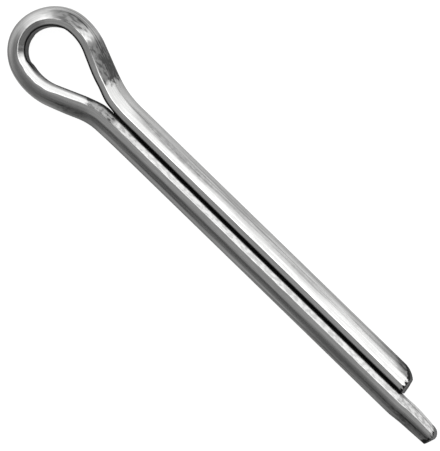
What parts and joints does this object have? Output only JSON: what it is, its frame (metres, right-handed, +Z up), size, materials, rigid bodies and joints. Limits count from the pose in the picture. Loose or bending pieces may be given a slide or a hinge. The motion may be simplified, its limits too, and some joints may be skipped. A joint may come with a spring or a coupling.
{
  "type": "cotter pin",
  "caption": "Extended-prong cotter pin: half-round steel wire bent into a teardrop eye, with two parallel prongs that form a round shank.",
  "frame": {"origin": "on the shank's axis where the neck ends and the two prongs start to run parallel", "axes": "+X down the shank from the eye to the tips, +Y to the short prong's side, +Z up from the bench that the pin lies on"},
  "size_m": [0.0716, 0.0115, 0.0056],
  "materials": {
    "plated_steel": "bright zinc-plated steel wire with fine drawing lines along its length"
  },
  "bodies": {
    "root": {"cotter_pin": "plated_steel"}
  },
  "joints": []
}
